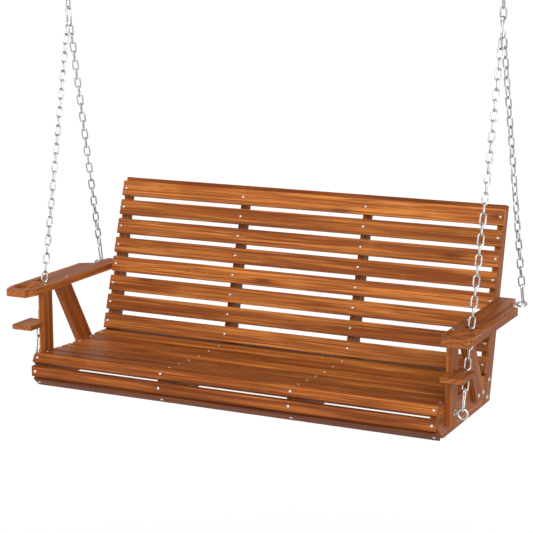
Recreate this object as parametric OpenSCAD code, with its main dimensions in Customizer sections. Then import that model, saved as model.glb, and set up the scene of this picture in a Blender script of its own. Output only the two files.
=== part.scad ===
// Porch swing: a slatted bench with cup-holder arms, hung on chains from two ceiling screw hooks.
// X runs across the seat, Y from front to back and Z up. The origin is midway between the two
// screw hooks, on the ceiling they screw into.

/* [View] */
// Which piece to draw
// Angle the snap hook gates are pushed in by
gate_open = 0; // [0:1:13]

/* [Seat] */
// Length of every slat
slat_length = 1270; // [1200:10:1300]
// Width of the back and seat slats
slat_width = 48; // [42:1:50]
// Thickness of every slat
slat_thick = 18; // [16:1:19]
// Distance from the centre plane to the inner ribs
inner_rib_x = 205; // [150:5:260]
// Thickness of the ribs
rib_thick = 22; // [20:1:25]
// Radius along the long edges of the slats
edge_round = 1.5; // [0.5:0.5:3]

/* [Back] */
// Lean of the back from upright
back_lean = 17.8; // [16:0.1:19]
// Spacing of the back slats
back_pitch = 61.25; // [58:0.25:62]
// Height of the top rail section
rail_height = 18; // [14:1:20]
// Depth of the top rail section
rail_depth = 20; // [18:1:24]

/* [Arms] */
// Thickness of the arms
arm_thick = 22; // [20:1:24]
// Height of the arm tops above the middle of the lowest back slat
arm_top = 177.5; // [174:0.5:181]
// Radius of the cup holes
cup_r = 37.5; // [34:0.5:39]
// Height of the cup shelf tops above the middle of the lowest back slat
shelf_top = 67; // [55:1:80]
// Thickness of the cup shelves
shelf_thick = 14; // [12:1:18]
// Thickness of the posts and braces
strut_thick = 18; // [16:1:19]
// Width of the braces
brace_width = 62; // [54:1:66]

/* [Chain] */
// Thickness of the chain wire
chain_wire = 4.8; // [4.4:0.1:4.8]
// Outer width of a chain link
link_width = 21; // [20:0.5:21]
// Links in each front chain
front_links = 34; // [32:1:36]
// Links in each rear chain
rear_links = 26; // [25:1:27]
// Pitch of the upper chain
upper_pitch = 27.8; // [27:0.1:28]

/* [Snap hooks] */
// Thickness of the snap hook wire
hook_wire = 5; // [4.6:0.1:5]
// Length of a snap hook between its two end wires
hook_span = 60.3; // [58:0.1:62]
// Middle radius of a snap hook's wide end
hook_wide_r = 8.5; // [8.4:0.1:9]
// Middle radius of a snap hook's narrow end
hook_narrow_r = 5.9; // [5.9:0.1:6.2]

/* [Hardware] */
// Radius of the eye bolt shanks and ring wire
eye_wire_r = 3; // [2.8:0.1:3]
// Middle radius of the eye bolt rings
eye_ring_r = 13.5; // [13:0.5:13.5]
// Radius of the wood screw heads
screw_head_r = 4.6; // [4:0.1:5]
// Radius of the wood screw shanks
screw_r = 2; // [1.8:0.1:2.2]
// Length of the wood screws under the head
screw_long = 32; // [28:1:33]
// Radius of the frame bolts
bolt_r = 3; // [2.5:0.5:3.5]
// Radius of the frame bolt heads
bolt_head_r = 6.5; // [6:0.5:8]
// Wire radius of the ceiling screw hooks
ceiling_wire_r = 4; // [3.6:0.1:4]
// Middle radius of the ceiling screw hooks' bend
ceiling_bend_r = 12; // [11.5:0.5:12.5]
// Length of the screw hooks' thread, which goes into the ceiling
ceiling_thread = 60; // [50:1:80]

/* [Hidden] */
wood = [0.58, 0.3, 0.15];
dark_wood = [0.42, 0.2, 0.1];
zinc = [0.78, 0.79, 0.8];
fine = 48;
hair = 0.05; // room round a screw or bolt in its hole
nip = 0.15; // room between two wires that hook into each other
over = 1; // how far a cut runs past a face
skin = 0.04; // straight bars are this much fuller than the bends they run into

// The bench is laid out from the middle of the lowest back slat's front face, and
// hang_y and hang_z take it from there to the origin.
hang_y = -89;
hang_z = 1132;

// Each slat: middle of its outer face as y and z, tilt of that face, width
seat_slats = [
    [-346, -21, -4, slat_width],
    [-287.5, -24.4, -3.8, slat_width],
    [-228, -28, -2.5, slat_width],
    [-165.7, -29.8, -0.6, slat_width],
    [-101.9, -29.5, 0.5, slat_width],
    [-37.4, -28.9, 0.5, slat_width]
];
strip_y = [-9, 14]; // the strip behind the seat slats, let into the ribs
strip_top = -29;
nose_slats = [
    [-402, -25.5, 52, 29],
    [-416, -66, 90, 31],
    [-393.1, -104.8, 138.9, 37]
];
lean_up = 90 - back_lean;
back_slats = [
    for (i = [0:7])
    [i * back_pitch * sin(back_lean), i * back_pitch * cos(back_lean), lean_up, slat_width]
];
seat_half = slat_length / 2;
rib_xs = [-seat_half + rib_thick / 2, -inner_rib_x, inner_rib_x, seat_half - rib_thick / 2];

// Ribs
back_top = 7 * back_pitch + slat_width / 2 - 3.75; // where the top rail sits, up the back
rib_base_depth = 72; // from the slats' front faces to the rib's rear edge, at the lowest slat
rib_top_depth = slat_thick + rail_depth;
rib_bottom = -117;
lap_top = -38;

// Bolts through the ribs, as y and z
joint_bolts = [[36.9, -50.5], [21.9, -99]];
brace_bolts = [[-112, -58], [-72, -58]];
nut_r = 5.8;
nut_h = 5;
washer_r = 9;
washer_h = 1.5;
bolt_head_h = 3.4;
bolt_spare = 9; // how far a bolt stands out of the wood it clamps

// Arms and what stands under them. Plan outlines are drawn for the right-hand side.
strut_out = seat_half + strut_thick;
arm_out = 725;
arm_under = arm_top - arm_thick;
tail_out = 684;
tail_end = 110;
front_end = -420;
front_taper = [12, 40];
cup_at = [680, -360];
slot_x = [663, 710];
slot_y = [-288, -243];
post_y = [-343, -295];
post_foot = -85;
brace_top_y = -224;
brace_lean = 31;
brace_foot = -78;
shelf_outline = [
    [640, -406], [706, -406], [706, -312], [strut_out, -312], [strut_out, post_y[0]], [640, post_y[0]]
];
arm_screw_ys = [-319, -199];
shelf_screw_x = 646.5;
shelf_screw_long = 70;

// Eye bolts: middle of the ring on the right-hand side, turn of the ring about X
eye_front = [seat_half + 42, -319, -52];
eye_rear = [707.5, 94, 166.5];
front_eye_tilt = 0;
rear_eye_tilt = 75;
eye_end_x = seat_half - rib_thick - bolt_spare;

// Chains
link_r = (link_width - chain_wire) / 2;
hook_r = hook_wire / 2;
chain_r = chain_wire / 2;
side_x = 685;
upper_links = 4;
upper_bend_z = 992.5; // middle of the bottom bend of the lowest upper link
crown_drop = 1.5;
crown_part = 2.8; // half the spacing of the two snap hooks that share a link
hinge_gap = 0.3;
upper_top_z = upper_bend_z - link_r + upper_links * upper_pitch + chain_wire;
ceiling_wire_z = upper_top_z - ceiling_wire_r - chain_r - hinge_gap;
ceiling_bend_z = ceiling_wire_z + ceiling_bend_r;
ceiling_neck_r = 10;
neck_rise = sqrt(pow(ceiling_bend_r + ceiling_neck_r, 2) - pow(ceiling_neck_r, 2));
neck_turn = atan2(neck_rise, ceiling_neck_r);
hook_mouth = 15;
collar_r = 7;
collar_h = 2.5;

// Snap hook outline
hook_rise = hook_span - hook_wide_r - hook_narrow_r;
hook_flare = asin((hook_wide_r - hook_narrow_r) / hook_rise);
side_len = hook_rise * cos(hook_flare);
gate_pivot = 6;
gate_tip = side_len - 2.6;
rivet_r = 0.9;
tongue_half = 0.9;
cheek_gap = 0.25;
nose_pin_r = 0.6;
nose_pin_at = gate_tip - 2.2;

function along(a) = [cos(a), sin(a)];
function unit(v) = v / norm(v);
function to_side(p, side) = [side * p[0], p[1], p[2]];

// Middle and ends of a slat's inner face
function inner_face(s) = [s[0] + slat_thick * sin(s[2]), s[1] - slat_thick * cos(s[2])];
function inner_end(s, k) = inner_face(s) + k * s[3] / 2 * along(s[2]);

// A point at distance up the back and depth behind the slats' front faces
function back_pt(up, depth) = [
    up * sin(back_lean) + depth * cos(back_lean),
    up * cos(back_lean) - depth * sin(back_lean)
];

// Where two lines cross, and where a line reaches height z
function meet(p, a, q, b) = p + along(a) * (
    ((q[0] - p[0]) * sin(b) - (q[1] - p[1]) * cos(b)) / (cos(a) * sin(b) - sin(a) * cos(b))
);
function meet_z(p, a, z) = [p[0] + (z - p[1]) / tan(a), z];
function meet_slats(s, t) = meet(inner_face(s), s[2], inner_face(t), t[2]);

rib_front = back_pt(0, slat_thick);
rib_rear = back_pt(0, rib_base_depth);
rib_rear_top = back_pt(back_top, rib_top_depth);
rear_edge_angle = atan2(rib_rear_top[1] - rib_rear[1], rib_rear_top[0] - rib_rear[0]);
lap_front = meet_z(rib_front, lean_up, lap_top);
lap_rear = meet_z(rib_rear, rear_edge_angle, lap_top);
front_foot = meet_z(rib_front, lean_up, rib_bottom);
rear_foot = meet_z(rib_rear, rear_edge_angle, rib_bottom);

module at_bench() {
    translate([0, -hang_y, -hang_z])
    children();
}

module both_sides() {
    children();
    mirror([1, 0, 0])
    children();
}

// Extrudes an outline drawn in y and z from x1 to x2.
module across(x1, x2) {
    translate([x1, 0, 0])
    rotate([90, 0, 90])
    linear_extrude(x2 - x1)
    children();
}

// Extrudes an outline drawn in x and y from z1 to z2.
module upwards(z1, z2) {
    translate([0, 0, z1])
    linear_extrude(z2 - z1)
    children();
}

// Puts children at the middle of a slat's outer face at x, with Z pointing out of it.
module on_face(x, s) {
    translate([x, s[0], s[1]])
    rotate([s[2], 0, 0])
    children();
}

// Puts children at p on a plane across X, with Z pointing along X.
module along_x(x, p) {
    translate([x, p[0], p[1]])
    rotate([0, 90, 0])
    children();
}

// Puts children on top of the top rail at x, with Z pointing up the back.
module on_rail(x) {
    p = back_pt(back_top + rail_height, slat_thick + rail_depth / 2);
    translate([x, p[0], p[1]])
    rotate([-back_lean, 0, 0])
    children();
}

// A hole for a wood screw whose head sits at z = 0.
module screw_hole(long = screw_long) {
    translate([0, 0, -long - over])
    cylinder(h = long + 2 * over, r = screw_r + hair, $fn = fine);
}

module bolt_hole(x, p, r) {
    along_x(x - 100, p)
    cylinder(h = 200, r = r + hair, $fn = fine);
}

// ---- Boards ----

module slat_section(width) {
    r = edge_round;
    translate([-width / 2, -slat_thick + r])
    square([width, slat_thick - 2 * r]);
    translate([-width / 2 + r, -slat_thick])
    square([width - 2 * r, slat_thick]);
    for (x = [-width / 2 + r, width / 2 - r])
    for (y = [-slat_thick + r, -r])
    translate([x, y])
    circle(r, $fn = fine);
}

module slat(s, tone) {
    color(tone)
    at_bench()
    difference() {
        across(-seat_half, seat_half)
        translate([s[0], s[1]])
        rotate(s[2])
        slat_section(s[3]);
        for (x = rib_xs)
        on_face(x, s)
        screw_hole();
    }
}

module top_rail() {
    color(dark_wood)
    at_bench()
    difference() {
        across(-seat_half, seat_half)
        rotate(-back_lean)
        translate([slat_thick, back_top])
        square([rail_depth, rail_height]);
        for (x = rib_xs)
        on_rail(x)
        screw_hole();
    }
}

module strip_outline(room) {
    translate([strip_y[0] - room, strip_top - slat_thick - room])
    square([strip_y[1] - strip_y[0] + 2 * room, slat_thick + 2 * room]);
}

module seat_strip() {
    color(dark_wood)
    at_bench()
    across(-seat_half, seat_half)
    strip_outline(0);
}

module back_rib_outline() {
    polygon([front_foot, back_pt(back_top, slat_thick), rib_rear_top, rear_foot]);
}

// The foot of the back rib, half lapped with the seat rib
module lap_outline() {
    polygon([front_foot, lap_front, lap_rear, rear_foot]);
}

module seat_rib_outline() {
    polygon(concat(
        [for (s = seat_slats) for (k = [-1, 1]) inner_end(s, k)],
        [lap_front, lap_rear, rear_foot],
        [meet_z(inner_face(nose_slats[2]), nose_slats[2][2], rib_bottom)],
        [meet_slats(nose_slats[1], nose_slats[2]), meet_slats(nose_slats[0], nose_slats[1])],
        [inner_end(nose_slats[0], 1)]
    ));
}

module rib_board(x) {
    across(x - rib_thick / 2, x + rib_thick / 2)
    children();
}

module back_rib(k) {
    x = rib_xs[k];
    outwards = sign(x) * rib_thick / 2;
    color(wood)
    at_bench()
    difference() {
        rib_board(x)
        back_rib_outline();
        rib_board(x - outwards)
        lap_outline();
        across(x - rib_thick, x + rib_thick)
        strip_outline(hair);
        for (s = back_slats)
        on_face(x, s)
        screw_hole();
        on_rail(x)
        screw_hole();
        for (p = joint_bolts)
        bolt_hole(x, p, bolt_r);
        if (abs(x) > inner_rib_x)
        bolt_hole(x, [eye_rear[1], eye_rear[2]], eye_wire_r);
    }
}

module seat_rib(k) {
    x = rib_xs[k];
    outwards = sign(x) * rib_thick / 2;
    color(dark_wood)
    at_bench()
    difference() {
        rib_board(x)
        seat_rib_outline();
        rib_board(x + outwards)
        lap_outline();
        across(x - rib_thick, x + rib_thick)
        strip_outline(hair);
        for (s = concat(seat_slats, nose_slats))
        on_face(x, s)
        screw_hole();
        for (p = joint_bolts)
        bolt_hole(x, p, bolt_r);
        if (abs(x) > inner_rib_x) {
            for (p = brace_bolts)
            bolt_hole(x, p, bolt_r);
            bolt_hole(x, [eye_front[1], eye_front[2]], eye_wire_r);
        }
    }
}

module on_side(side) {
    mirror([side < 0 ? 1 : 0, 0, 0])
    children();
}

module arm_outline() {
    difference() {
        polygon([
            [seat_half, tail_end], [tail_out, tail_end], [tail_out, 24], [arm_out, 0],
            [arm_out, front_end + front_taper[1]], [arm_out - front_taper[0], front_end],
            [seat_half + front_taper[0], front_end], [seat_half, front_end + front_taper[1]]
        ]);
        translate(cup_at)
        circle(cup_r, $fn = 96);
        translate([slot_x[0], slot_y[0]])
        square([slot_x[1] - slot_x[0], slot_y[1] - slot_y[0]]);
    }
}

// Puts children on the arm's top over a post or brace.
module on_arm(y) {
    translate([seat_half + strut_thick / 2, y, arm_top])
    children();
}

module arm(side) {
    color(wood)
    at_bench()
    on_side(side)
    difference() {
        upwards(arm_under, arm_top)
        arm_outline();
        for (y = arm_screw_ys)
        on_arm(y)
        screw_hole();
        bolt_hole(tail_out, [eye_rear[1], eye_rear[2]], eye_wire_r);
    }
}

// Puts children on the rear face of a post, with Z pointing away from the shelf.
module on_post() {
    translate([shelf_screw_x, post_y[1], shelf_top - shelf_thick / 2])
    rotate([-90, 0, 0])
    children();
}

module arm_post(side) {
    color(wood)
    at_bench()
    on_side(side)
    difference() {
        across(seat_half, strut_out)
        translate([post_y[0], post_foot])
        square([post_y[1] - post_y[0], arm_under - post_foot]);
        on_arm(arm_screw_ys[0])
        screw_hole();
        on_post()
        screw_hole(shelf_screw_long);
        bolt_hole(seat_half, [eye_front[1], eye_front[2]], eye_wire_r);
    }
}

module brace_outline() {
    half = brace_width / 2 / cos(brace_lean);
    top = [brace_top_y, arm_under];
    foot = meet_z(top, 90 + brace_lean, brace_foot);
    polygon([
        top - [half, 0], foot - [half, 0], foot + [half, 0], top + [half, 0]
    ]);
}

module arm_brace(side) {
    color(dark_wood)
    at_bench()
    on_side(side)
    difference() {
        across(seat_half, strut_out)
        brace_outline();
        on_arm(arm_screw_ys[1])
        screw_hole();
        for (p = brace_bolts)
        bolt_hole(seat_half, p, bolt_r);
    }
}

module cup_shelf(side) {
    color(wood)
    at_bench()
    on_side(side)
    difference() {
        upwards(shelf_top - shelf_thick, shelf_top)
        polygon(shelf_outline);
        on_post()
        screw_hole(shelf_screw_long);
    }
}

// ---- Fixings ----

module dome(r, h) {
    ball = (r * r + h * h) / (2 * h);
    intersection() {
        translate([0, 0, h - ball])
        sphere(ball, $fn = 64);
        cylinder(h = h, r = r, $fn = fine);
    }
}

// A cross-recessed wood screw with its head standing on z = 0.
module wood_screw(long = screw_long) {
    head_h = 2.6;
    slot = 0.9;
    slot_long = 4.6;
    point = 4;
    difference() {
        dome(screw_head_r, head_h);
        for (a = [0, 90])
        rotate(a)
        translate([-slot_long / 2, -slot / 2, head_h - 1.4])
        cube([slot_long, slot, 2]);
    }
    translate([0, 0, -long + point])
    cylinder(h = long - point, r = screw_r, $fn = fine);
    translate([0, 0, -long])
    cylinder(h = point, r1 = 0.4, r2 = screw_r, $fn = fine);
}

module slat_screws(slats) {
    for (s = slats)
    for (x = rib_xs)
    on_face(x, s)
    wood_screw();
}

module back_screws() {
    color(zinc)
    at_bench() {
        slat_screws(back_slats);
        for (x = rib_xs)
        on_rail(x)
        wood_screw();
    }
}

module seat_screws() {
    color(zinc)
    at_bench()
    slat_screws(seat_slats);
}

module nose_screws() {
    color(zinc)
    at_bench()
    slat_screws(nose_slats);
}

module arm_screws() {
    color(zinc)
    at_bench()
    both_sides() {
        for (y = arm_screw_ys)
        on_arm(y)
        wood_screw();
        on_post()
        wood_screw(shelf_screw_long);
    }
}

// A bolt along X with its dome head on the face at x_head and its end past x_nut.
module carriage_bolt(x_head, x_nut, p) {
    along_x(x_head, p)
    dome(bolt_head_r, bolt_head_h);
    along_x(x_nut - bolt_spare, p)
    cylinder(h = x_head - x_nut + bolt_spare, r = bolt_r, $fn = fine);
}

// Nut and washer against the face at x, on the side that outwards points to.
module nut_and_washer(x, p, outwards, hole_r) {
    along_x(outwards > 0 ? x : x - washer_h, p)
    ring_plate(washer_r, washer_h, hole_r, fine);
    along_x(outwards > 0 ? x + washer_h : x - washer_h - nut_h, p)
    ring_plate(nut_r, nut_h, hole_r, 6);
}

module ring_plate(r, h, hole_r, sides) {
    difference() {
        cylinder(h = h, r = r, $fn = sides);
        translate([0, 0, -over])
        cylinder(h = h + 2 * over, r = hole_r + hair, $fn = fine);
    }
}

module frame_bolts() {
    color(zinc)
    at_bench()
    both_sides() {
        for (p = joint_bolts)
        for (x = [inner_rib_x, seat_half - rib_thick / 2])
        carriage_bolt(x + rib_thick / 2, x - rib_thick / 2, p);
        for (p = brace_bolts)
        carriage_bolt(strut_out, seat_half - rib_thick, p);
    }
}

module frame_nuts() {
    color(zinc)
    at_bench()
    both_sides() {
        for (p = joint_bolts)
        for (x = [inner_rib_x, seat_half - rib_thick / 2])
        nut_and_washer(x - rib_thick / 2, p, -1, bolt_r);
        for (p = brace_bolts)
        nut_and_washer(seat_half - rib_thick, p, -1, bolt_r);
    }
}

// A round bar bent along an arc of radius bend, drawn in XZ from angle a1 to a2.
module bent_bar(r, bend, a1, a2) {
    rotate([90, 0, 0])
    rotate(a1)
    rotate_extrude(angle = a2 - a1, $fn = 72)
    translate([bend, 0])
    circle(r - skin, $fn = fine);
}

// A straight round bar up Z that laps the bends at both its ends.
module straight_bar(r, z1, z2) {
    translate([0, 0, z1 - over / 2])
    cylinder(h = z2 - z1 + over, r = r, $fn = fine);
}

module eye_bolt(at, tilt) {
    translate(at)
    rotate([-tilt, 0, 0])
    rotate_extrude($fn = 72)
    translate([eye_ring_r, 0])
    circle(eye_wire_r, $fn = fine);
    along_x(eye_end_x, [at[1], at[2]])
    cylinder(h = at[0] - eye_ring_r - eye_end_x, r = eye_wire_r, $fn = fine);
}

module eye_bolts() {
    color(zinc)
    at_bench()
    both_sides() {
        eye_bolt(eye_front, 90 + front_eye_tilt);
        eye_bolt(eye_rear, 90 + rear_eye_tilt);
    }
}

module eye_nuts() {
    front = [eye_front[1], eye_front[2]];
    rear = [eye_rear[1], eye_rear[2]];
    color(zinc)
    at_bench()
    both_sides() {
        nut_and_washer(strut_out, front, 1, eye_wire_r);
        nut_and_washer(seat_half - rib_thick, front, -1, eye_wire_r);
        nut_and_washer(tail_out, rear, 1, eye_wire_r);
        nut_and_washer(seat_half - rib_thick, rear, -1, eye_wire_r);
    }
}

// ---- Chains ----

// Where the narrow end of each low snap hook sits in its ring, on the right-hand side
low_drop = eye_wire_r + hook_r + nip;
front_low = eye_front + [0, 0, eye_ring_r] - low_drop * [0, 0.215, 0.976];
rear_low = eye_rear + eye_ring_r * [0, sin(rear_eye_tilt), cos(rear_eye_tilt)]
    - low_drop * [0, -0.233, 0.972];

// Turns of the pieces of chain about their own length, measured from the X axis. Each long chain:
// top hook, first link, every second link after it, every other link, twist at the bottom, low hook
upper_turns_left = [90, 0, 75, -19];
upper_turns_right = [90, 0, 90, 0];
front_turns_left = [71 + 180, 147, 64, 138, -40, 270];
front_turns_right = [80 + 180, 156, 38, 114, 0, 270];
rear_turns_left = [71, 175, 113, 26, 40, 90];
rear_turns_right = [80, 166, 76, 161, -45, 90];
twisted_links = 12;

// Each long chain: side, end below, sign of its hook's place on the shared link, links, turns
chain_fl = [-1, front_low, 1, front_links, front_turns_left];
chain_fr = [1, front_low, 1, front_links, front_turns_right];
chain_rl = [-1, rear_low, -1, rear_links, rear_turns_left];
chain_rr = [1, rear_low, -1, rear_links, rear_turns_right];

function share_turn(side) = side < 0 ? upper_turns_left[3] : upper_turns_right[3];
function crown(c) = [c[0] * side_x, hang_y, upper_bend_z - crown_drop]
    + c[2] * crown_part * [cos(share_turn(c[0])), sin(share_turn(c[0])), 0];
function low_end(c) = to_side(c[1], c[0]);
function pull(c) = unit(crown(c) - low_end(c));
function low_crown(c) = low_end(c) + hook_span * pull(c);
function link_seat() = hook_r + chain_r + nip;
function row_top(c) = crown(c) - (hook_span - link_seat()) * pull(c);
function row_low(c) = low_crown(c) - link_seat() * pull(c);
function row_pitch(c) = (norm(row_top(c) - row_low(c)) - chain_wire) / c[3];
function link_turn(c, i) = (i == 0 ? c[4][1] : c[4][i % 2 == 1 ? 2 : 3])
    + c[4][4] * max(0, i + 1 + twisted_links - c[3]) / twisted_links;

// Points Z along v, with X turned to the compass direction turn as nearly as that allows.
module aim(v, turn) {
    heading = atan2(v[1], v[0]);
    rotate([0, 0, heading])
    rotate([0, acos(v[2] / norm(v)), 0])
    rotate([0, 0, turn - heading])
    children();
}

module chain_link(pitch) {
    straight = (pitch + nip + chain_wire) / 2 - link_r;
    for (x = [-link_r, link_r])
    translate([x, 0, 0])
    straight_bar(chain_r, -straight, straight);
    translate([0, 0, straight])
    bent_bar(chain_r, link_r, 0, 180);
    translate([0, 0, -straight])
    bent_bar(chain_r, link_r, 180, 360);
}

module long_chain(c) {
    pitch = row_pitch(c);
    for (i = [0:c[3] - 1])
    translate(row_top(c) - pull(c) * ((pitch + chain_wire) / 2 + i * pitch))
    aim(pull(c), link_turn(c, i))
    chain_link(pitch);
}

module upper_chain(side, turns) {
    for (i = [0:upper_links - 1])
    translate([side * side_x, hang_y, upper_top_z - (upper_pitch + chain_wire) / 2 - i * upper_pitch])
    aim([0, 0, 1], turns[i])
    chain_link(upper_pitch);
}

module upper_chains() {
    color(zinc)
    at_bench() {
        upper_chain(-1, upper_turns_left);
        upper_chain(1, upper_turns_right);
    }
}

module front_chains() {
    color(zinc)
    at_bench() {
        long_chain(chain_fl);
        long_chain(chain_fr);
    }
}

module rear_chains() {
    color(zinc)
    at_bench() {
        long_chain(chain_rl);
        long_chain(chain_rr);
    }
}

// ---- Snap hooks ----

// Puts children where a snap hook is, with its narrow end's middle at the origin.
module at_hook(c, low) {
    translate(low ? low_crown(c) : crown(c))
    aim(pull(c), low ? c[4][5] : c[4][0])
    translate([0, 0, -hook_rise - hook_wide_r])
    children();
}

module at_all_hooks() {
    for (c = [chain_fl, chain_rl, chain_fr, chain_rr])
    for (low = [false, true])
    at_hook(c, low)
    children();
}

// Z along the side of the hook that holds the gate, starting at the narrow end.
module gate_side() {
    rotate([0, 90 + hook_flare, 0])
    translate([0, 0, hook_narrow_r])
    rotate([0, -90, 0])
    children();
}

module snap_hook() {
    stub = gate_pivot - hook_r - 0.4;
    bent_bar(hook_r, hook_narrow_r, 180 + hook_flare, 360 - hook_flare);
    translate([0, 0, hook_rise])
    bent_bar(hook_r, hook_wide_r, -hook_flare, 180 + hook_flare);
    mirror([1, 0, 0])
    gate_side()
    straight_bar(hook_r, 0, side_len);
    gate_side() {
        straight_bar(hook_r, 0, stub - over / 2);
        difference() {
            union() {
                translate([-2, -tongue_half, stub - over])
                cube([4, 2 * tongue_half, gate_pivot - stub + over]);
                pivot_disc(2, tongue_half);
            }
            pivot_disc(rivet_r, tongue_half + over);
        }
        straight_bar(hook_r, gate_tip + 0.3 + over / 2, side_len);
        translate([-2, -nose_pin_r, nose_pin_at])
        cube([4, 2 * nose_pin_r, gate_tip - nose_pin_at + over]);
        translate([0, -1.6, nose_pin_at])
        rotate([-90, 0, 0])
        cylinder(h = 3.2, r = nose_pin_r, $fn = fine);
    }
}

// A disc across the gate at its pivot.
module pivot_disc(r, half) {
    translate([0, -half, gate_pivot])
    rotate([-90, 0, 0])
    cylinder(h = 2 * half, r = r, $fn = fine);
}

module snap_hooks() {
    color(zinc)
    at_bench()
    at_all_hooks()
    snap_hook();
}

module gate_rivets() {
    color(zinc)
    at_bench()
    at_all_hooks()
    gate_side() {
        pivot_disc(rivet_r, hook_r + 0.7);
        for (y = [-hook_r - 0.7, hook_r + nip])
        translate([0, y, gate_pivot])
        rotate([-90, 0, 0])
        cylinder(h = 0.7 - nip, r = 1.6, $fn = fine);
    }
}

module gate_bar() {
    difference() {
        intersection() {
            translate([0, 0, gate_pivot - hook_r])
            cylinder(h = gate_tip - gate_pivot + hook_r, r = hook_r, $fn = fine);
            union() {
                pivot_disc(hook_r, hook_r);
                translate([-hook_r, -hook_r, gate_pivot])
                cube([2 * hook_r, 2 * hook_r, gate_tip]);
            }
        }
        translate([-hook_wire, -tongue_half - cheek_gap, 0])
        cube([2 * hook_wire, 2 * (tongue_half + cheek_gap), gate_pivot + 3]);
        pivot_disc(rivet_r + hair, hook_wire);
        translate([-hook_wire, -nose_pin_r - 0.3, nose_pin_at - 0.3])
        cube([2 * hook_wire, 2 * nose_pin_r + 0.6, hook_wire]);
        translate([-nose_pin_r - 0.3, -2, nose_pin_at - nose_pin_r - 0.4])
        cube([hook_wire, 4, 2 * nose_pin_r + 0.8]);
    }
}

module hook_gate(c, low) {
    color(zinc)
    at_bench()
    at_hook(c, low)
    gate_side()
    translate([0, 0, gate_pivot])
    rotate([0, -gate_open, 0])
    translate([0, 0, -gate_pivot])
    gate_bar();
}

// ---- Ceiling ----

module ceiling_hook() {
    point = 10;
    neck_z = ceiling_bend_z + neck_rise;
    translate([0, 0, ceiling_bend_z]) {
        bent_bar(ceiling_wire_r, ceiling_bend_r, 180 - neck_turn, 360 + hook_mouth);
        rotate([0, -hook_mouth, 0])
        translate([ceiling_bend_r, 0, -over])
        cylinder(h = over + 1.5, r1 = ceiling_wire_r - 0.3, r2 = ceiling_wire_r - 1.5, $fn = fine);
        rotate([0, neck_turn - 180, 0])
        translate([ceiling_bend_r, 0, 0])
        straight_bar(ceiling_wire_r, 0, 0);
    }
    translate([-ceiling_neck_r, 0, neck_z])
    bent_bar(ceiling_wire_r, ceiling_neck_r, -neck_turn, 0);
    straight_bar(ceiling_wire_r, neck_z, hang_z + ceiling_thread - point);
    translate([0, 0, hang_z + ceiling_thread - point])
    cylinder(h = point, r1 = ceiling_wire_r - 0.3, r2 = 0.5, $fn = fine);
    translate([0, 0, hang_z - collar_h])
    cylinder(h = collar_h, r = collar_r, $fn = fine);
}

module ceiling_hooks() {
    color(zinc)
    at_bench()
    both_sides()
    translate([side_x, hang_y, 0])
    ceiling_hook();
}

slat(back_slats[7], wood);  // back_slat_1
slat(back_slats[6], wood);  // back_slat_2
slat(back_slats[5], dark_wood);  // back_slat_3
slat(back_slats[4], wood);  // back_slat_4
slat(back_slats[3], wood);  // back_slat_5
slat(back_slats[2], dark_wood);  // back_slat_6
slat(back_slats[1], wood);  // back_slat_7
slat(back_slats[0], wood);  // back_slat_8
top_rail();
slat(seat_slats[0], wood);  // seat_slat_1
slat(seat_slats[1], dark_wood);  // seat_slat_2
slat(seat_slats[2], wood);  // seat_slat_3
slat(seat_slats[3], dark_wood);  // seat_slat_4
slat(seat_slats[4], wood);  // seat_slat_5
slat(seat_slats[5], wood);  // seat_slat_6
seat_strip();
slat(nose_slats[0], wood);  // nose_slat_upper
slat(nose_slats[1], dark_wood);  // nose_slat_middle
slat(nose_slats[2], wood);  // nose_slat_lower
back_rib(0);  // back_rib_1
back_rib(1);  // back_rib_2
back_rib(2);  // back_rib_3
back_rib(3);  // back_rib_4
seat_rib(0);  // seat_rib_1
seat_rib(1);  // seat_rib_2
seat_rib(2);  // seat_rib_3
seat_rib(3);  // seat_rib_4
arm(-1);  // arm_left
arm(1);  // arm_right
arm_post(-1);  // arm_post_left
arm_post(1);  // arm_post_right
arm_brace(-1);  // arm_brace_left
arm_brace(1);  // arm_brace_right
cup_shelf(-1);  // cup_shelf_left
cup_shelf(1);  // cup_shelf_right
back_screws();
seat_screws();
nose_screws();
arm_screws();
frame_bolts();
frame_nuts();
eye_bolts();
eye_nuts();
upper_chains();
front_chains();
rear_chains();
snap_hooks();
gate_rivets();
hook_gate(chain_fl, false);  // gate_top_front_left
hook_gate(chain_rl, false);  // gate_top_rear_left
hook_gate(chain_fl, true);  // gate_low_front_left
hook_gate(chain_rl, true);  // gate_low_rear_left
hook_gate(chain_fr, false);  // gate_top_front_right
hook_gate(chain_rr, false);  // gate_top_rear_right
hook_gate(chain_fr, true);  // gate_low_front_right
hook_gate(chain_rr, true);  // gate_low_rear_right
ceiling_hooks();
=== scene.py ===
import math
import random

import bpy
from mathutils import Matrix, Vector


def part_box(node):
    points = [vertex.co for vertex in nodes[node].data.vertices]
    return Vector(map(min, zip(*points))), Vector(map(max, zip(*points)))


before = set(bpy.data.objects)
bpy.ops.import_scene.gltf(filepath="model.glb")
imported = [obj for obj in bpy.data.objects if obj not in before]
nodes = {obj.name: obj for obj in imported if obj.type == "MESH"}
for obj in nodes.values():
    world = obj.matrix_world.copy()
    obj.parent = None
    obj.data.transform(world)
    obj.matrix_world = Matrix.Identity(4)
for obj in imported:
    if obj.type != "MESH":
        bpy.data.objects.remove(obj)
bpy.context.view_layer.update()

scene = bpy.context.scene

# ---- Directions in the bench, seen from its front: X right, Y to its back, Z up ----

BACK_LEAN = math.radians(17.8)
BRACE_LEAN = math.radians(31)
ACROSS = Vector((1, 0, 0))
FRONT_TO_BACK = Vector((0, 1, 0))
UPRIGHT = Vector((0, 0, 1))
UP_THE_BACK = Vector((0, math.sin(BACK_LEAN), math.cos(BACK_LEAN)))
UP_THE_BRACE = Vector((0, -math.sin(BRACE_LEAN), math.cos(BRACE_LEAN)))

# ---- Wood ----

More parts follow.
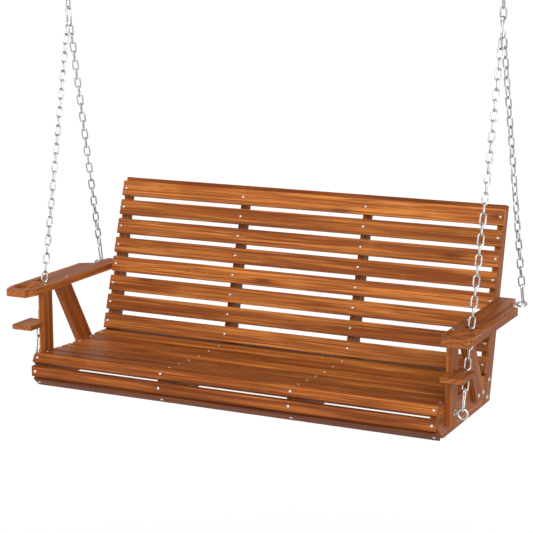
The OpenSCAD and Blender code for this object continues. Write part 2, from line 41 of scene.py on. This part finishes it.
# Linear colours of the oiled wood, and how a red board's channels differ from a brown one's
DARK_BROWN = (0.130, 0.037, 0.009)
LIGHT_BROWN = (0.575, 0.200, 0.044)
RED_SHIFT = (1.04, 0.86, 0.80)

# Tone of each board, from 0 dark to 1 light, and how red it is, from 0 to 1.
# The tones are partly the boards' own and partly painted shade: the inner ribs and the lower
# nose slats are set darker where shade falls on them
BOARDS = {
    "back_slat_1": (0.72, 0.0), "back_slat_2": (0.42, 0.2),
    "back_slat_3": (0.50, 0.1), "back_slat_4": (0.42, 0.2),
    "back_slat_5": (0.58, 0.2), "back_slat_6": (0.42, 0.3),
    "back_slat_7": (0.36, 0.2), "back_slat_8": (0.48, 0.1),
    "top_rail": (0.25, 0.5),
    "seat_slat_1": (0.38, 0.5), "seat_slat_2": (0.36, 0.4),
    "seat_slat_3": (0.40, 0.4), "seat_slat_4": (0.64, 0.3),
    "seat_slat_5": (0.38, 0.5), "seat_slat_6": (0.72, 0.0),
    "seat_strip": (0.30, 0.3),
    "nose_slat_upper": (0.42, 0.5), "nose_slat_middle": (0.26, 0.6),
    "nose_slat_lower": (0.08, 0.6),
    "back_rib_1": (0.28, 0.1), "back_rib_2": (0.14, 0.1),
    "back_rib_3": (0.14, 0.1), "back_rib_4": (0.40, 0.0),
    "seat_rib_1": (0.28, 0.1), "seat_rib_2": (0.14, 0.1),
    "seat_rib_3": (0.14, 0.1), "seat_rib_4": (0.44, 0.0),
    "arm_left": (0.50, 0.4), "arm_right": (0.36, 0.4),
    "arm_post_left": (0.40, 0.3), "arm_post_right": (0.42, 0.3),
    "arm_brace_left": (0.42, 0.4), "arm_brace_right": (0.44, 0.3),
    "cup_shelf_left": (0.42, 0.2), "cup_shelf_right": (0.40, 0.2),
}

# Growth rings: how many to a metre, with the spread between boards, and how far they waver.
# The board is cut from a trunk whose middle lies off to its side and off its face.
RINGS_PER_METRE = 95.0
RINGS_SPREAD = (-20, 25)
RING_WAVER = 0.055
HEART_ASIDE = (-0.05, 0.05)
HEART_OFF = (0.03, 0.09)
TRUNK_TAPER = 0.02
RING_STOPS = ((0.0, 0.15), (0.55, 0.35), (0.86, 1.0), (0.97, 0.85), (1.0, 0.15))
RING_DEPTH = 0.30
RING_TINT = (0.45, 0.36, 0.36)

# The figure in a board, layer by layer: how fast its noise changes along and across the grain,
# per metre, then the noise's detail and roughness
FIGURE = {
    "waver": (1.6, 9, 2.0, 0.55),
    "broad": (2.2, 22, 3.0, 0.50),
    "streak": (1.3, 60, 4.0, 0.55),
    "glow": (1.8, 95, 3.0, 0.50),
    "line": (2.6, 210, 3.0, 0.55),
    "hairline": (4.0, 430, 2.0, 0.50),
    "fibre": (9, 620, 3.0, 0.70),
    "pores": (26, 1500, 2.0, 0.60),
    "wear": (6, 16, 4.0, 0.65),
}

# How much of a layer shows at which noise values, and its tint of the board's colour
SHOWS = {
    "streak": (((0.34, 0.92), (0.49, 0.0)), (0.36, 0.28, 0.34)),
    "glow": (((0.50, 0.0), (0.66, 0.75)), (1.55, 1.75, 1.70)),
    "line": (((0.42, 0.85), (0.50, 0.0)), (0.44, 0.33, 0.33)),
    "hairline": (((0.41, 0.75), (0.48, 0.0)), (0.42, 0.30, 0.30)),
    "fibre": (((0.36, 0.45), (0.55, 0.0)), (0.60, 0.50, 0.50)),
    "wear": (((0.58, 0.0), (0.80, 0.28)), (1.50, 1.70, 1.90)),
}
BROAD_STOPS = ((0.36, 0.0), (0.62, 1.0))
BROAD_DARK = (0.72, 0.58, 0.52)
BROAD_LIGHT = (1.42, 1.46, 1.36)

# A knot here and there: cells along and across the grain, per metre
KNOT_CELLS = (2.2, 8.0, 8.0)
KNOT_STOPS = ((0.0, 1.0), (0.035, 1.0), (0.075, 0.35), (0.13, 0.0))
KNOT_DEPTH = 0.8
KNOT_TINT = (0.28, 0.22, 0.26)

# End grain drinks more oil: how squarely a face crosses the grain, then its two tints
END_STOPS = ((0.75, 0.0), (0.92, 1.0))
END_EARLY_WOOD = (0.95, 0.95, 1.10)
END_LATE_WOOD = (0.50, 0.46, 0.50)

WOOD_ROUGH = 0.38
WOOD_IOR = 1.48
OILED_SHEEN = 0.10
WOOD_BUMP = (0.38, 0.0006)

# ---- Metal: linear colour, roughness, tarnish, and where in the noise it lies ----

METALS = {
    "screw_zinc": ((0.66, 0.63, 0.60), 0.32, 0.40, 1.3),
    "bolt_zinc": ((0.66, 0.65, 0.64), 0.16, 0.60, 4.1),
    "chain_zinc": ((0.62, 0.62, 0.61), 0.12, 0.75, 7.7),
    "hook_zinc": ((0.66, 0.66, 0.65), 0.12, 0.60, 2.9),
    "gate_zinc": ((0.60, 0.60, 0.59), 0.18, 0.50, 5.3),
}
TARNISH_TINT = (0.42, 0.40, 0.37)
CLOUDS_PER_METRE = 60.0
SPANGLES_PER_METRE = 700.0
SCRATCHES_PER_METRE = 900.0
SPANGLE_DEPTH = 0.10
ZINC_BUMP = (0.25, 0.0002)

# ---- Sawn edges ----

EDGE_ROUND = 0.0015
SAME_POINT = 0.00001
SAME_PLANE = math.radians(1)
SHARP = math.radians(40)

# ---- Studio ----

FLOOR_DROP = 1.8
FLOOR_HALF = 150
FLOOR_LOW, FLOOR_HIGH = (0.94, 0.94, 0.94, 1), (0.96, 0.96, 0.96, 1)

# Brightness by height, from the horizon up
SKY_STOPS = ((0.0, 1.0), (0.12, 1.0), (0.55, 0.42), (0.95, 0.20))
SKY_STRENGTH = 1.3
SUN_STRENGTH = 3.1
SUN_WIDTH = math.radians(50)
SUN_HEADING = Vector((-0.40, 0.75, -0.62))

CAMERA_PLACE = (2.0034, -4.1877, 0.0777)
CAMERA_PITCH = math.radians(11.71)
CAMERA_TURN = math.radians(25.76)
CAMERA_LENS = 108.7
CAMERA_SENSOR = 36
CAMERA_REACH = 200


def grain_of(name):
    if name.startswith(("back_slat", "seat_slat", "seat_strip", "nose_slat", "top_rail")):
        return ACROSS
    if name.startswith("back_rib"):
        return UP_THE_BACK
    if name.startswith("arm_post"):
        return UPRIGHT
    if name.startswith("arm_brace"):
        return UP_THE_BRACE
    return FRONT_TO_BACK


def metal_of(name):
    if name.endswith("_screws"):
        return "screw_zinc"
    if name in ("frame_bolts", "frame_nuts", "eye_nuts", "eye_bolts"):
        return "bolt_zinc"
    if name.endswith("_chains"):
        return "chain_zinc"
    if name.startswith("gate_") and name != "gate_rivets":
        return "gate_zinc"
    return "hook_zinc"


def lerp(a, b, f):
    return tuple(x + (y - x) * f for x, y in zip(a, b))


def times(a, b):
    return tuple(x * y for x, y in zip(a, b))


# ---- Shader helpers ----

def new_material(name):
    m = bpy.data.materials.new(name)
    m.use_nodes = True
    m.node_tree.nodes.clear()
    return m


class Tree:
    """A short way to add and link shader nodes."""

    def __init__(self, material):
        self.t = material.node_tree

    def put(self, socket, value):
        """Links a socket to another, or sets it to a plain value."""
        if isinstance(value, bpy.types.NodeSocket):
            self.t.links.new(value, socket)
        else:
            socket.default_value = value

    def add(self, kind, inputs=None, **props):
        n = self.t.nodes.new(kind)
        for k, v in props.items():
            setattr(n, k, v)
        for k, v in (inputs or {}).items():
            self.put(n.inputs[k], v)
        return n

    def math(self, op, a, b=0.0):
        return self.add("ShaderNodeMath", {0: a, 1: b}, operation=op).outputs[0]

    def vector(self, op, a, b):
        return self.add("ShaderNodeVectorMath", {0: a, 1: b}, operation=op).outputs[0]

    def length(self, a):
        return self.add("ShaderNodeVectorMath", {0: a}, operation="LENGTH").outputs["Value"]

    def dot(self, a, b):
        n = self.add("ShaderNodeVectorMath", {0: a, 1: b}, operation="DOT_PRODUCT")
        return n.outputs["Value"]

    def weighted(self, terms, start=0.0):
        """Adds each value times its weight to start."""
        total = start
        for value, weight in terms:
            total = self.math("ADD", self.math("MULTIPLY", value, weight), total)
        return total

    def mix(self, factor, a, b, blend="MIX"):
        n = self.add("ShaderNodeMix", data_type="RGBA", blend_type=blend)
        # The colour sockets A and B are the node's seventh and eighth
        for i, v in ((0, factor), (6, a), (7, b)):
            self.put(n.inputs[i], v)
        return n.outputs[2]

    def ramp(self, value, stops):
        n = self.add("ShaderNodeValToRGB", {0: value})
        e = n.color_ramp.elements
        while len(e) < len(stops):
            e.new(0.5)
        for el, (pos, v) in zip(e, stops):
            el.position = pos
            el.color = (v, v, v, 1)
        return n.outputs[0]

    def noise(self, vector, scale, detail=4.0, rough=0.55):
        inputs = {"Vector": vector, "Scale": scale, "Detail": detail, "Roughness": rough}
        return self.add("ShaderNodeTexNoise", inputs).outputs[0]

    def object_place(self):
        return self.add("ShaderNodeTexCoord").outputs["Object"]

    def bump(self, height, strength, distance):
        inputs = {"Height": height, "Strength": strength, "Distance": distance}
        return self.add("ShaderNodeBump", inputs).outputs[0]

    def surface(self, inputs):
        """Ends the tree in one principled shader."""
        shader = self.add("ShaderNodeBsdfPrincipled", inputs)
        self.add("ShaderNodeOutputMaterial", {"Surface": shader.outputs[0]})


# ---- Materials ----

def growth_rings(t, name, axes, board, waver, rng):
    """Late wood, from 0 to 1, of rings about the middle of a trunk."""
    heart = (0, rng.uniform(*HEART_ASIDE), rng.choice((-1, 1)) * rng.uniform(*HEART_OFF))
    low, high = (Vector(p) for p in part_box(name))
    middle = (low + high) / 2
    centre = Vector([axis.dot(middle) for axis in axes])
    from_heart = t.vector("SUBTRACT", t.vector("ADD", board, heart), centre)
    radius = t.length(t.vector("MULTIPLY", from_heart, (TRUNK_TAPER, 1, 1)))
    sway = t.math("MULTIPLY", t.math("SUBTRACT", waver, 0.5), RING_WAVER)
    rings_per_metre = RINGS_PER_METRE + rng.uniform(*RINGS_SPREAD)
    rings = t.math("FRACT", t.math("MULTIPLY", t.math("ADD", radius, sway), rings_per_metre))
    return t.ramp(rings, RING_STOPS)


def knots(t, place):
    cells = t.add(
        "ShaderNodeTexVoronoi",
        {"Vector": t.vector("MULTIPLY", place, KNOT_CELLS), "Scale": 1.0, "Randomness": 1.0},
        feature="F1",
    )
    return t.ramp(cells.outputs["Distance"], KNOT_STOPS)


def wood(name, grain, tone_and_shade, red, seed):
    """Oiled softwood, sawn along the grain."""
    rng = random.Random(seed)
    m = new_material(name)
    t = Tree(m)

    # X runs along the grain, Y and Z across it
    side = ACROSS if abs(grain.x) < 0.5 else grain.orthogonal().normalized()
    axes = (grain, side, grain.cross(side))
    board = t.add(
        "ShaderNodeMapping",
        {"Vector": t.object_place(), "Rotation": tuple(Matrix(axes).to_euler())},
        vector_type="POINT",
    ).outputs[0]
    # Each board is cut from its own part of the noise
    moved = t.vector("ADD", board, Vector([rng.uniform(-9, 9) for _ in axes]))
    layers = {
        kind: t.noise(t.vector("MULTIPLY", moved, (along, over, over)), 1.0, detail, rough)
        for kind, (along, over, detail, rough) in FIGURE.items()
    }
    late = growth_rings(t, name, axes, board, layers["waver"], rng)

    # The board's tone is its own colour together with painted shade
    base = lerp(DARK_BROWN, LIGHT_BROWN, tone_and_shade)
    base = times(base, lerp((1, 1, 1), RED_SHIFT, red))

    def shade(tint):
        return (*times(base, tint), 1)

    def lay(kind, under):
        stops, tint = SHOWS[kind]
        return t.mix(t.ramp(layers[kind], stops), under, shade(tint))

    broad = t.ramp(layers["broad"], BROAD_STOPS)
    colour = t.mix(broad, shade(BROAD_DARK), shade(BROAD_LIGHT))
    for kind in ("streak", "glow", "line", "hairline"):
        colour = lay(kind, colour)
    colour = t.mix(t.math("MULTIPLY", late, RING_DEPTH), colour, shade(RING_TINT))
    colour = lay("fibre", colour)
    colour = t.mix(t.math("MULTIPLY", knots(t, moved), KNOT_DEPTH), colour, shade(KNOT_TINT))

    normal = t.add("ShaderNodeNewGeometry").outputs["Normal"]
    end = t.ramp(t.math("ABSOLUTE", t.dot(normal, tuple(grain))), END_STOPS)
    colour = t.mix(end, colour, t.mix(late, shade(END_EARLY_WOOD), shade(END_LATE_WOOD)))
    colour = lay("wear", colour)

    height = t.weighted([(layers["fibre"], 0.6), (late, 0.35), (layers["pores"], 0.35)])
    t.surface({
        "Base Color": colour,
        "Roughness": t.weighted([(layers["streak"], 0.22), (end, 0.2)], WOOD_ROUGH),
        "Normal": t.bump(height, *WOOD_BUMP),
        "IOR": WOOD_IOR,
        "Specular IOR Level": OILED_SHEEN,
    })
    return m


def zinc(name, base, rough, tarnish, seed):
    """Zinc plate, clouded with tarnish."""
    m = new_material(name)
    t = Tree(m)
    place = t.vector("ADD", t.object_place(), (seed, 0.7 * seed, 0.3))
    cloud = t.noise(place, CLOUDS_PER_METRE, 4.0, 0.6)
    scratch = t.noise(place, SCRATCHES_PER_METRE, 3.0, 0.7)
    spangle = t.add("ShaderNodeTexVoronoi", {"Vector": place, "Scale": SPANGLES_PER_METRE})
    clouds = t.ramp(cloud, ((0.35, tarnish), (0.7, 0.0)))
    colour = t.mix(clouds, (*base, 1), (*times(base, TARNISH_TINT), 1))
    colour = t.mix(SPANGLE_DEPTH, colour, spangle.outputs["Color"], "SOFT_LIGHT")
    height = t.weighted([(scratch, 0.5), (cloud, 0.5)])
    t.surface({
        "Base Color": colour,
        "Metallic": 1.0,
        "Roughness": t.weighted([(cloud, 0.2)], rough),
        "Normal": t.bump(height, *ZINC_BUMP),
    })
    return m


def floor_paint():
    m = new_material("floor_paint")
    t = Tree(m)
    tint = t.mix(t.noise(t.object_place(), 3.0, 5.0), FLOOR_LOW, FLOOR_HIGH)
    t.surface({"Base Color": tint, "Roughness": 0.9})
    return m


# ---- Dress every node ----

def dress(obj, material):
    obj.data.materials.clear()
    obj.data.materials.append(material)


def soften(obj, width):
    """Breaks a board's sawn edges, after joining its flat faces so that they shade as one."""
    weld = obj.modifiers.new("weld", "WELD")
    weld.merge_threshold = SAME_POINT
    join = obj.modifiers.new("join", "DECIMATE")
    join.decimate_type = "DISSOLVE"
    join.angle_limit = SAME_PLANE
    edges = obj.modifiers.new("edges", "BEVEL")
    edges.width = width
    edges.segments = 2
    edges.limit_method = "ANGLE"
    edges.angle_limit = SHARP
    obj.data.polygons.foreach_set("use_smooth", [False] * len(obj.data.polygons))


for i, (name, (tone_and_shade, red)) in enumerate(sorted(BOARDS.items())):
    dress(nodes[name], wood(name, grain_of(name), tone_and_shade, red, seed=100 + 7 * i))
    # The slats have round edges of their own
    if "slat" not in name:
        soften(nodes[name], EDGE_ROUND)

metals = {name: zinc(name, *look) for name, look in METALS.items()}
for name, o in nodes.items():
    if name not in BOARDS:
        dress(o, metals[metal_of(name)])

# ---- Floor and light ----

mesh = bpy.data.meshes.new("floor")
corners = [(x * FLOOR_HALF, y * FLOOR_HALF, 0) for x, y in ((-1, -1), (1, -1), (1, 1), (-1, 1))]
mesh.from_pydata(corners, [], [(0, 1, 2, 3)])
floor = bpy.data.objects.new("floor", mesh)
seat_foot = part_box("seat_rib_1")[0].z
floor.location = (0, 0, seat_foot - FLOOR_DROP)
scene.collection.objects.link(floor)
dress(floor, floor_paint())

# The studio is bright all round and dimmer overhead, which gives the zinc something dark to mirror
world = bpy.data.worlds.new("studio")
scene.world = world
world.use_nodes = True
sky = Tree(world)
heading = sky.add("ShaderNodeTexCoord").outputs["Generated"]
height = sky.add("ShaderNodeSeparateXYZ", {0: heading}).outputs[2]
background = world.node_tree.nodes["Background"]
sky.put(background.inputs["Color"], sky.ramp(height, SKY_STOPS))
sky.put(background.inputs["Strength"], SKY_STRENGTH)

sun = bpy.data.lights.new("sun", "SUN")
sun.energy = SUN_STRENGTH
sun.angle = SUN_WIDTH
lamp = bpy.data.objects.new("sun", sun)
lamp.rotation_mode = "QUATERNION"
lamp.rotation_quaternion = SUN_HEADING.to_track_quat("-Z", "Y")
scene.collection.objects.link(lamp)

# ---- Camera ----

camera_data = bpy.data.cameras.new("camera")
camera_data.sensor_width = CAMERA_SENSOR
camera_data.lens = CAMERA_LENS
camera_data.clip_end = CAMERA_REACH
camera = bpy.data.objects.new("camera", camera_data)
camera.location = CAMERA_PLACE
camera.rotation_mode = "XYZ"
camera.rotation_euler = (math.radians(90) - CAMERA_PITCH, 0, CAMERA_TURN)
scene.collection.objects.link(camera)
scene.camera = camera
scene.view_settings.view_transform = "Standard"
